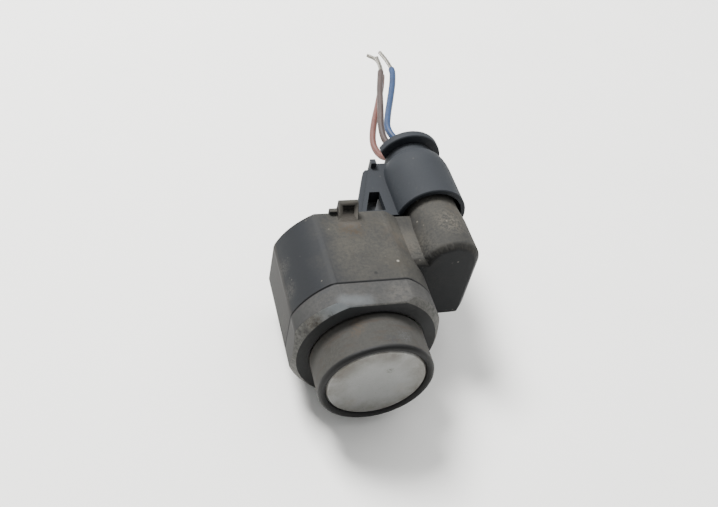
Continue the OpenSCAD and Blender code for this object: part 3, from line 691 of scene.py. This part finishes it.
# The same nylon on the collar: rubbed pale along the bevel where the bumper ring sat
COLLAR_NYLON = DustyPlastic(
    "moulded_nylon_scuffed", "#191a1b", 0.66, specular=0.2, relief=0.03, dust="#434240",
    dust_side=0.6, clean_front=0.9, rub_amount=0.8, seam=SEAM_Y,
    # Painted light on the front face: lighter at the top, out of the nose's shade, and on the right
    painted_face_light=(
        StainOrPaintedLight((1.0, 0.0, 10.4), 6.0, "#353536", 0.9, 0.0),
        StainOrPaintedLight((10.4, 0.0, 4.6), 4.0, "#2d2e2f", 0.8, 0.0)),
    rub_stains=(
        StainOrPaintedLight((-5.6, 0.8, 10.5), 5.2, PALE_RUB, 0.75, 0.0),
        StainOrPaintedLight((-9.6, 0.4, 7.4), 2.2, BROWN_SOIL, 0.6, 0.5),
        StainOrPaintedLight((-10.7, 0.1, 5.4), 1.3, EDGE_GRIME, 0.8, 0.35),
        StainOrPaintedLight((-9.1, 0.1, 7.4), 1.3, EDGE_GRIME, 0.8, 0.35),
        StainOrPaintedLight((-7.1, 0.1, 9.1), 1.2, EDGE_GRIME, 0.7, 0.35)),
    stains_and_painted_light=(
        StainOrPaintedLight((-5.2, 1.4, 10.8), 1.8, PALE_RUB, 0.45, 0.0),
        StainOrPaintedLight((-3.4, 1.2, 11.2), 1.8, PALE_RUB, 0.4, 0.0),
        StainOrPaintedLight((-1.7, 1.0, 11.3), 1.8, PALE_RUB, 0.3, 0.0),
        StainOrPaintedLight((-7.5, 3.6, 10.4), 3.4, "#2b2c2e", 0.5, 1.2),
        StainOrPaintedLight((4.0, 1.6, 11.3), 3.5, "#4f4c47", 0.4, 0.9)))
# Polyester, moulded smooth: cleaner and bluer than the sensor, with a soft even sheen
PLUG_PBT = DustyPlastic(
    "moulded_polyester_clean", "#202327", 0.64, specular=0.18, relief=0.015, dust="#25272a",
    dust_up=0.5, soil_amount=0.1, speck_amount=0.12, grain=0.35)
# Rubber, moulded: black where it is clean, grey-brown with dust
NOSE_RUBBER = NoseRubber(
    "moulded_rubber_dusty", "#0a0a0a", 0.6, specular=0.25, relief=0.02, marks=(
        StainOrPaintedLight((-3.4, -1.9, 8.8), 1.9, "#41372c", 0.55, 0.45),
        StainOrPaintedLight((-4.0, -2.8, 8.6), 1.5, "#3d342a", 0.5, 0.4),
        StainOrPaintedLight((1.0, -5.2, 9.4), 1.4, "#26282d", 0.6, 0.4),
        StainOrPaintedLight((3.3, -4.6, 8.9), 1.9, "#434445", 0.5, 0.3),
        StainOrPaintedLight((-7.5, -3.0, 5.7), 2.6, "#2a2824", 0.5, 0.9)))
# Aluminium, deep-drawn and lacquered: a pale satin disc
MEMBRANE = SatinAluminium(
    "drawn_aluminium_satin", "#888988", 0.45, 0.75, grain=0.25, relief=0.004, specks=(
        StainOrPaintedLight((1.6, -6.65, 3.1), 0.9, "#4a4742", 0.9, 0.25),
        StainOrPaintedLight((-3.5, -6.65, -4.5), 1.6, "#7d7870", 0.6, 0.3),
        StainOrPaintedLight((4.5, -6.65, -2.0), 2.2, "#86837d", 0.5, 0.4)))
# PVC, extruded over the strands: pale with age, a soft gloss and faint dirt
PVC = {"roughness": 0.55, "specular": 0.3, "grain": 1.4, "shade": 0.3}
RED_PVC = Finish("extruded_pvc_red", "#5c3a33", **PVC)
BROWN_PVC = Finish("extruded_pvc_brown", "#3b302d", **PVC)
BLUE_PVC = Finish("extruded_pvc_blue", "#1a3050", **PVC)
# Copper strands, tinned: dull silver-grey, darker in the lay between them
TINNED_COPPER = Finish("tinned_copper_strand", "#7b7871", 0.42, 0.85, grain=0.6, shade=0.5)
# Board, painted: pale, matt, with the faintest cloudiness
FLOOR_PAINT = Finish("painted_board_floor", "#ebeae6", 0.75, grain=30, shade=0.02)
# The rest is hidden. Piezo ceramic, fired: cream, even and dull
PIEZO = Finish("fired_piezo_ceramic", "#d8d2bd", 0.5, grain=0.2, shade=0.1)
# Silicone foam, cast: warm grey with open pores
DAMPING = Finish("cast_silicone_damping", "#8b8478", 0.85, grain=0.6, relief=0.05)
# Nylon, moulded: plain dark grey
CARRIER = Finish("moulded_carrier_nylon", "#3d3f42", 0.55, grain=0.4)
# Copper, drawn: bright orange wire with faint draw marks
COPPER = Finish("drawn_copper_lead", "#b87a4a", 0.35, 1.0, grain=0.3)
# Glass cloth in epoxy, pressed: green, with the weave showing
LAMINATE = Woven("glass_epoxy_board", "#2b5f3d", 0.4, band=0.4)
# Epoxy, moulded: near black and dull
CHIP_EPOXY = Finish("moulded_chip_epoxy", "#26272a", 0.6, grain=0.15)
# Ferrite, sintered: dark brown-grey and rough
FERRITE = Finish("sintered_ferrite", "#454241", 0.7, grain=0.2, relief=0.03)
# Enamelled copper, wound: dark orange turns side by side
WINDING = Woven(
    "enamelled_copper_winding", "#9c5a28", 0.3, 0.8, shade=0.35, band=0.2, crossed=False)
# Aluminium, drawn: pale and bright
CAN = Finish("drawn_aluminium_can", "#a3a6aa", 0.35, 1.0, grain=0.4)
# Capacitor ceramic, fired: tan and even
CERAMIC = Finish("fired_capacitor_ceramic", "#b0936c", 0.55, grain=0.2)
# Brass, stamped and thinly tinned: pale yellow and bright
BRASS = Finish("stamped_tinned_brass", "#c4a863", 0.32, 1.0, grain=0.5)
# Polyester, moulded: ivory
LOCK = Finish("moulded_lock_polyester", "#b8b1a0", 0.5, grain=0.4)
# Silicone, moulded: rust red and soft
SEAL_RUBBER = Finish("moulded_seal_silicone", "#84443a", 0.65, grain=0.5, relief=0.02)


class SubAssembly:
    """Pieces that belong together, and the ways that they are made from the frame's solids."""

    def rounded(self, node: str, slot: str, finish: Finish, sharp: float, bevel: float,
                soft: float = 0.0, keep: tuple[Span, ...] = ()) -> Piece:
        """Copies a solid with rounded edges and puts the copy in its place.

        Args:
            node: the solid's name.
            slot: its material slot in the record; not used.
            finish: what it is made of.
            sharp: width in millimetres of the rounding on sharp edges.
            bevel: the same on the edges of bevels, or 0 for none.
            soft: the same between flats and round corners, or 0 for none.
            keep: ranges of Y in millimetres whose edges stay as they are.

        Returns:
            The new piece.
        """
        shape = bmesh.new()
        shape.from_mesh(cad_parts[node].data)
        bmesh.ops.remove_doubles(shape, verts=shape.verts, dist=WELD * MM)
        bmesh.ops.dissolve_limit(
            shape, angle_limit=math.radians(FLAT_ANGLE), verts=shape.verts, edges=shape.edges)
        if soft:
            self.strip(shape, soft)
        for kind, width in ((Edge.SOFT, soft), (Edge.SHARP, sharp), (Edge.BEVEL, bevel)):
            if not width:
                continue
            edges = self.edges(shape, kind, keep)
            for chain in [edges] if kind is Edge.SOFT else self.chains(edges):
                bmesh.ops.bevel(
                    shape, geom=chain, offset=width * MM, offset_type="OFFSET",
                    segments=kind.steps, profile=0.5, affect="EDGES",
                    clamp_overlap=kind is not Edge.SOFT, material=-1)
        mesh = bpy.data.meshes.new(f"{node}_rounded")
        shape.to_mesh(mesh)
        shape.free()
        mesh.polygons.foreach_set("use_smooth", [True] * len(mesh.polygons))
        mesh.set_sharp_from_angle(angle=math.radians(SMOOTH_ANGLE))
        mesh.materials.append(finish.material())
        piece = bpy.data.objects.new(f"{node}_rounded", mesh)
        bpy.context.scene.collection.objects.link(piece)
        piece.modifiers.new("even_shading", "WEIGHTED_NORMAL").keep_sharp = True
        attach(piece, Body.ROOT.value)
        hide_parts(node)
        return piece

    def edges(self, shape: Shape, kind: Edge, keep: tuple[Span, ...] = ()) -> list[ShapeEdge]:
        """Finds the edges of one kind.

        Args:
            shape: the mesh.
            kind: which edges.
            keep: ranges of Y in millimetres whose edges are left out.

        Returns:
            The edges. Soft ones are those that run along the axis beside a flat.
        """
        found = [
            e for e in shape.edges
            if e.is_manifold and kind.low < e.calc_face_angle(0.0) < kind.high
            and not any(all(low * MM < v.co.y < high * MM for v in e.verts) for low, high in keep)]
        if kind is not Edge.SOFT:
            return found
        return [e for e in found if abs(e.verts[0].co.y - e.verts[1].co.y) > SOFT_RUN * MM
                and any(max(map(abs, f.normal)) > SQUARE for f in e.link_faces)]

    def chains(self, edges: list[ShapeEdge]) -> list[list[ShapeEdge]]:
        """Sorts edges into chains that touch, so that a tight corner limits only its own chain.

        Args:
            edges: the edges.

        Returns:
            The chains, without those too short to be seen.
        """
        left = set(edges)
        chains = []
        for first in edges:
            if first not in left:
                continue
            left.remove(first)
            chain = [first]
            for edge in chain:
                near = [e for v in edge.verts for e in v.link_edges if e in left]
                left.difference_update(near)
                chain += near
            if sum(e.calc_length() for e in chain) > SHORT_CHAIN * MM:
                chains.append(chain)
        return chains

    def strip(self, shape: Shape, width: float) -> None:
        """Cuts a plain strip into each flat beside its soft edges, so that the rounding has room.

        Args:
            shape: the mesh.
            width: width of the rounding in millimetres.
        """
        cuts = []
        for edge in self.edges(shape, Edge.SOFT):
            out = max((f.normal.copy() for f in edge.link_faces), key=lambda n: max(map(abs, n)))
            into = out.cross(Vector((0, 1, 0))).normalized()
            at = edge.verts[0].co.copy()
            cuts.append((at, out, into if into.dot(at) < 0 else -into))
        reach = STRIP_WIDTHS * width * MM
        room = PLANE_ROOM * MM
        for at, out, into in cuts:
            flat = self.flat_faces(shape, at, out)
            ring = dict.fromkeys(part for f in flat for part in (*f.edges, *f.verts))
            bmesh.ops.bisect_plane(
                shape, geom=[*flat, *ring], dist=CUT_ROOM * MM, plane_co=at + into * reach,
                plane_no=into)
            beside = [f for f in self.flat_faces(shape, at, out)
                      if all(-room < (v.co - at).dot(into) < reach + room for v in f.verts)]
            bmesh.ops.dissolve_faces(shape, faces=beside)

    def flat_faces(self, shape: Shape, at: Vector, out: Vector) -> list[bmesh.types.BMFace]:
        """Finds the faces of one flat.

        Args:
            shape: the mesh.
            at: a point of the flat.
            out: the flat's normal.

        Returns:
            The faces.
        """
        return [f for f in shape.faces if f.normal.dot(out) > SQUARE
                and abs((f.verts[0].co - at).dot(out)) < PLANE_ROOM * MM]

    def dressed(self, finishes: dict[str, Finish]) -> list[Piece]:
        """Gives their finishes to solids that stay as they are.

        Args:
            finishes: what each solid is made of, by its name.

        Returns:
            The solids.
        """
        pieces = [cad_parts[node] for node in finishes]
        for piece, finish in zip(pieces, finishes.values()):
            for place in piece.material_slots:
                place.material = finish.material()
        return pieces


@dataclass
class SensorBody(SubAssembly):
    """Housing with its arm, socket tower and snap lug, and the collar that closes its front.

    Sizes and places are in millimetres. Crisp are the seam, the collar's tabs, and the housing
    behind its back face, with the tongue and the catch.
    """

    housing_edge: float = 0.15
    collar_edge: float = 0.08
    collar_bevel: float = 0.12
    flat_edge: float = 0.5
    seam_room: float = 0.3
    tabs_to: float = 10.0
    back_y: float = 20.75
    tower_to: float = 40.0

    def build(self) -> list[Piece]:
        """Builds both mouldings.

        Returns:
            The pieces.
        """
        before, behind = SEAM_Y - self.seam_room, SEAM_Y + self.seam_room
        return [
            self.rounded("housing", "body_plastic", HOUSING_NYLON, self.housing_edge, 0.0,
                         self.flat_edge, ((before, behind), (self.back_y, self.tower_to))),
            self.rounded("front_collar", "collar_plastic", COLLAR_NYLON, self.collar_edge,
                         self.collar_bevel, self.flat_edge, ((before, self.tabs_to),))]


@dataclass
class Transducer(SubAssembly):
    """Aluminium pot in its rubber ring, with what drives and damps it inside."""

    pot_edge: float = 0.1
    pot_bevel: float = 0.09

    def build(self) -> list[Piece]:
        """Builds the pot and dresses the ring and the inner pieces.

        Returns:
            The pieces.
        """
        pieces = [self.rounded(
            "membrane_pot", "membrane_aluminium", MEMBRANE, self.pot_edge, self.pot_bevel)]
        return pieces + self.dressed({
            "decoupling_ring": NOSE_RUBBER, "piezo_disc": PIEZO, "damping_pad": DAMPING,
            "transducer_carrier": CARRIER, "piezo_leads": COPPER})


class Electronics(SubAssembly):
    """Circuit board with its pieces, and the contact pins that lead into the socket."""

    def build(self) -> list[Piece]:
        """Dresses the hidden pieces.

        Returns:
            The pieces.
        """
        return self.dressed({
            "circuit_board": LAMINATE, "control_chip": CHIP_EPOXY, "transformer_core": FERRITE,
            "transformer_winding": WINDING, "filter_capacitor": CAN, "ceramic_capacitors": CERAMIC,
            "contact_pin_1": BRASS, "contact_pin_2": BRASS, "contact_pin_3": BRASS})


@dataclass
class Plug(SubAssembly):
    """Plug of the cable: shroud with its latch plate, rear cap, and what holds the terminals.

    The edges round the latch window stay crisp, or the floor would show through it as a line.
    """

    shroud_edge: float = 0.16
    shroud_bevel: float = 0.06
    cap_edge: float = 0.14
    window_y: Span = (22.9, 27.6)

    def build(self) -> list[Piece]:
        """Builds shroud and cap and dresses the inner pieces.

        Returns:
            The pieces.
        """
        pieces = [
            self.rounded("plug_housing", "plug_plastic", PLUG_PBT, self.shroud_edge,
                         self.shroud_bevel, keep=(self.window_y,)),
            self.rounded("rear_cap", "plug_plastic", PLUG_PBT, self.cap_edge, self.shroud_bevel)]
        return pieces + self.dressed({
            "plug_seal": SEAL_RUBBER, "wire_seal": SEAL_RUBBER, "terminal_lock": LOCK,
            "terminal_1": BRASS, "terminal_2": BRASS, "terminal_3": BRASS})


@dataclass
class Wire:
    """A cut wire: insulation along the route of its solid and bare strands at its end.

    Places and lengths are in millimetres.

    Attributes:
        route: points on the wire's middle.
        bare: length of the bare end.
        tuck: how far the strands reach into the insulation.
        twist: length of one turn of the strands.
        outer_strands: number of strands round the middle one.
        steps: points of the line for each stretch of the route.
        roundness: resolution of the round section.
    """

    name: str
    finish: Finish
    route: tuple[Point, ...]
    bare: float = 7.0
    tuck: float = 1.0
    diameter: float = 1.3
    strand_d: float = 0.27
    twist: float = 7.0
    outer_strands: int = 6
    steps: int = 7
    roundness: int = 4

    def line(self) -> list[Vector]:
        """Draws the smooth line through the route.

        Returns:
            Its points in metres.
        """
        points = [Vector(p) * MM for p in self.route]
        padded = [2 * points[0] - points[1], *points, 2 * points[-1] - points[-2]]
        line = [points[0]]
        # Handles of a sixth of the way between neighbours keep the line smooth
        for before, start, end, after in zip(padded, padded[1:], padded[2:], padded[3:]):
            line += interpolate_bezier(
                start, start + (end - before) / 6, end - (after - start) / 6, end, self.steps)[1:]
        return line

    def curve(self, name: str, lines: list[list[Vector]], diameter: float, finish: Finish) -> Piece:
        """Makes round wires along some lines.

        Args:
            name: the piece's name.
            lines: the centre lines in metres.
            diameter: diameter in millimetres.
            finish: what it is made of.

        Returns:
            The curve object.
        """
        data = bpy.data.curves.new(name, "CURVE")
        data.dimensions = "3D"
        data.bevel_depth = diameter / 2 * MM
        data.bevel_resolution = self.roundness
        data.use_fill_caps = True
        for line in lines:
            spline = data.splines.new("POLY")
            spline.points.add(len(line) - 1)
            spline.points.foreach_set("co", [c for p in line for c in (*p, 1.0)])
            spline.use_smooth = True
        data.materials.append(finish.material())
        piece = bpy.data.objects.new(name, data)
        bpy.context.scene.collection.objects.link(piece)
        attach(piece, Body.ROOT.value)
        return piece

    def strand_lines(self, tip: list[Vector]) -> list[list[Vector]]:
        """Lays strands round a middle one, with a slow twist.

        Args:
            tip: the centre line of the bare end.

        Returns:
            The centre line of each strand.
        """
        lines = [list(tip)]
        for k in range(self.outer_strands):
            line = []
            run = 0.0
            for i, point in enumerate(tip):
                after = tip[min(i + 1, len(tip) - 1)]
                ahead = (after - tip[max(i - 1, 0)]).normalized()
                side = ahead.cross(Vector((0, 0, 1))).normalized()
                turns = k / self.outer_strands + run / (self.twist * MM)
                turn = Matrix.Rotation(math.tau * turns, 3, ahead)
                line.append(point + turn @ side * self.strand_d * MM)
                run += (after - point).length
            lines.append(line)
        return lines

    def build(self) -> list[Piece]:
        """Returns:
            The pieces.
        """
        line = self.line()
        steps = [(b - a).length for a, b in zip(line, line[1:])]
        left = [sum(steps[i:]) for i in range(len(line))]
        clad = [p for p, rest in zip(line, left) if rest >= self.bare * MM]
        tip = [p for p, rest in zip(line, left) if rest <= (self.bare + self.tuck) * MM]
        strands = self.curve(
            f"{self.name}_strands", self.strand_lines(tip), self.strand_d, TINNED_COPPER)
        piece = self.curve(f"{self.name}_insulation", [clad], self.diameter, self.finish)
        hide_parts(self.name)
        return [piece, strands]


@dataclass
class CableTail(SubAssembly):
    """The three cut wires behind the plug, with places in millimetres."""

    leave_y: float = 36.9

    def build(self) -> list[Piece]:
        """Builds the wires.

        Returns:
            The pieces.
        """
        out = self.leave_y
        red = ((14, out, 7.5), (13.72, 38.1, 7), (13.1, 39.4, 6.1), (12.45, 40.9, 5.25),
               (12.1, 42.9, 4.75), (12.1, 45.4, 4.6), (12.8, 48.4, 4.6), (14.2, 52.4, 4.5),
               (16, 56.8, 4.2), (17.8, 61.4, 3.9), (19.6, 66.4, 3.6), (21, 71.4, 3.2),
               (21.4, 76.6, 2.8))
        brown = ((16, out, 7.5), (15.5, 39.2, 7.1), (14.5, 42, 6.5), (14, 45, 6), (14.4, 49, 5.9),
                 (15.4, 53, 5.9), (16.4, 57, 5.8), (17.4, 61, 5.7), (18.6, 65, 5.5),
                 (19.7, 69, 5.3), (19.7, 72.2, 5.2), (18.2, 74.2, 5))
        blue = ((18, out, 7.5), (17.4, 38.8, 7.7), (16, 41.1, 7.9), (14.7, 43.7, 8),
                (14.6, 46.4, 8), (15.7, 50, 7.9), (17.2, 54, 7.7), (18.8, 58.2, 7.4),
                (20.2, 62.2, 7.1), (21.2, 66, 6.8), (21.2, 69.8, 6.5), (20.6, 73.6, 6.2))
        wires = (Wire("wire_red", RED_PVC, red), Wire("wire_brown", BROWN_PVC, brown),
                 Wire("wire_blue", BLUE_PVC, blue))
        return [piece for wire in wires for piece in wire.build()]


@dataclass(frozen=True)
class Softbox:
    """A square soft light: its place and side in metres, and its power in watts."""

    name: str
    at: Point
    side: float
    power: float


@dataclass
class Studio:
    """Pale floor, soft light from above and behind, and the camera at the photograph's place.

    The camera's place, lens and sensor are in millimetres, all else is in metres.
    """

    camera_at: Point = (-41.04, -80.46, 111.69)
    camera_right: Point = (0.95644, -0.23794, 0.16918)
    camera_up: Point = (0.05983, 0.72690, 0.68416)
    camera_back: Point = (-0.28577, -0.64423, 0.70945)
    lens: float = 44.45
    sensor: float = 36.0
    nearest: float = 0.005
    floor_half: float = 3.0
    lit: Point = (0.0, 0.02, 0.0)
    softboxes: tuple[Softbox, ...] = (
        Softbox("left_softbox", (-0.2, 0.4, 0.58), 0.25, 17.0),
        Softbox("right_softbox", (0.36, 0.3, 0.6), 0.8, 5.0))
    sky: str = "#eef0f2"
    surround: float = 0.75

    def build(self, floor_z: float) -> None:
        """Builds floor, lights, surroundings and camera.

        Args:
            floor_z: height of the floor in metres.
        """
        shape = bmesh.new()
        bmesh.ops.create_grid(shape, x_segments=1, y_segments=1, size=self.floor_half)
        bmesh.ops.translate(shape, verts=shape.verts, vec=(0, 0, floor_z))
        mesh = bpy.data.meshes.new("studio_floor")
        shape.to_mesh(mesh)
        shape.free()
        mesh.materials.append(FLOOR_PAINT.material())
        floor = bpy.data.objects.new("studio_floor", mesh)
        bpy.context.scene.collection.objects.link(floor)
        for softbox in self.softboxes:
            self.light(softbox)
        world = bpy.data.worlds.new("studio_surroundings")
        world.use_nodes = True
        sky = world.node_tree.nodes["Background"]
        sky.inputs["Color"].default_value = linear(self.sky)
        sky.inputs["Strength"].default_value = self.surround
        bpy.context.scene.world = world
        self.camera()

    def light(self, softbox: Softbox) -> None:
        """Adds a soft light that faces the sensor.

        Args:
            softbox: the light.
        """
        data = bpy.data.lights.new(softbox.name, "AREA")
        data.size = softbox.side
        data.energy = softbox.power
        lamp = bpy.data.objects.new(softbox.name, data)
        lamp.location = softbox.at
        aim = Vector(self.lit) - Vector(softbox.at)
        lamp.rotation_euler = aim.to_track_quat("-Z", "Y").to_euler()
        bpy.context.scene.collection.objects.link(lamp)

    def camera(self) -> None:
        """Adds the camera."""
        data = bpy.data.cameras.new("photo_camera")
        data.lens = self.lens
        data.sensor_width = self.sensor
        data.clip_start = self.nearest
        taken = bpy.data.objects.new("photo_camera", data)
        turn = Matrix((self.camera_right, self.camera_up, self.camera_back)).transposed().to_4x4()
        taken.matrix_world = Matrix.Translation(Vector(self.camera_at) * MM) @ turn
        bpy.context.scene.collection.objects.link(taken)
        bpy.context.scene.camera = taken


def main() -> None:
    """Builds the studio and every sub-assembly in order, and notes each piece's name."""
    logging.basicConfig(level=logging.INFO, format="%(message)s")
    floor_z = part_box("housing")[0][2]
    Studio().build(floor_z)
    for part in (CableTail(), SensorBody(), Transducer(), Electronics(), Plug()):
        for piece in part.build():
            LOG.info("%s: %s", type(part).__name__, piece.name)


if __name__ == "__main__":
    main()
